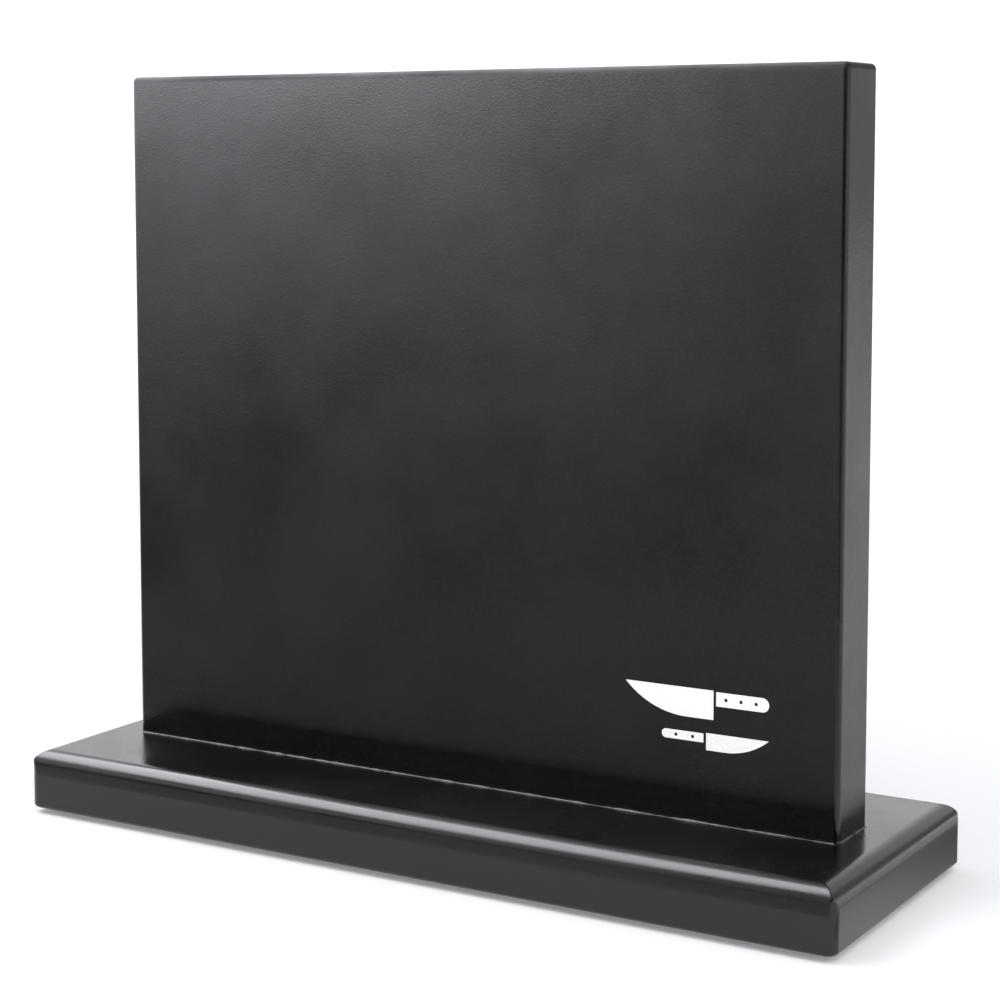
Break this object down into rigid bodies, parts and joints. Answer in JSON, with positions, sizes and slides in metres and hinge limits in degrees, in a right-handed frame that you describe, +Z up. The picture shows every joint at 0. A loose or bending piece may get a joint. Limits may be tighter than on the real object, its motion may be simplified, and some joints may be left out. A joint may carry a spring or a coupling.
{
  "type": "knife magnetic rack",
  "caption": "Free-standing double-sided magnetic knife rack: an upright black lacquered panel with hidden magnet rows on a wide base board with rounded edges.",
  "frame": {"origin": "centre of the footprint, on the surface that the rubber feet stand on", "axes": "+X along the length, to the right as seen from the printed face; +Y from the printed face to the back; +Z up"},
  "size_m": [0.3, 0.1046, 0.255],
  "materials": {
    "black_lacquered_wood": "satin",
    "nickel_plate": "gloss",
    "keeper_steel": "satin",
    "beech": "matte",
    "zinc_plated_screw": "satin",
    "foot_rubber": "matte",
    "lacquer_bead": "gloss",
    "white_ink": "satin"
  },
  "bodies": {
    "root": {"base_board": "black_lacquered_wood", "panel_core": "black_lacquered_wood", "front_face_skin": "black_lacquered_wood", "back_face_skin": "black_lacquered_wood", "front_magnets_lower": "nickel_plate", "front_magnets_middle": "nickel_plate", "front_magnets_upper": "nickel_plate", "back_magnets_lower": "nickel_plate", "back_magnets_middle": "nickel_plate", "back_magnets_upper": "nickel_plate", "front_keeper_lower": "keeper_steel", "front_keeper_middle": "keeper_steel", "front_keeper_upper": "keeper_steel", "back_keeper_lower": "keeper_steel", "back_keeper_middle": "keeper_steel", "back_keeper_upper": "keeper_steel", "locating_dowels": "beech", "fixing_screws": "zinc_plated_screw", "foot_front_left": "foot_rubber", "foot_front_right": "foot_rubber", "foot_back_left": "foot_rubber", "foot_back_right": "foot_rubber", "joint_bead": "lacquer_bead", "printed_mark": "white_ink"}
  },
  "joints": []
}
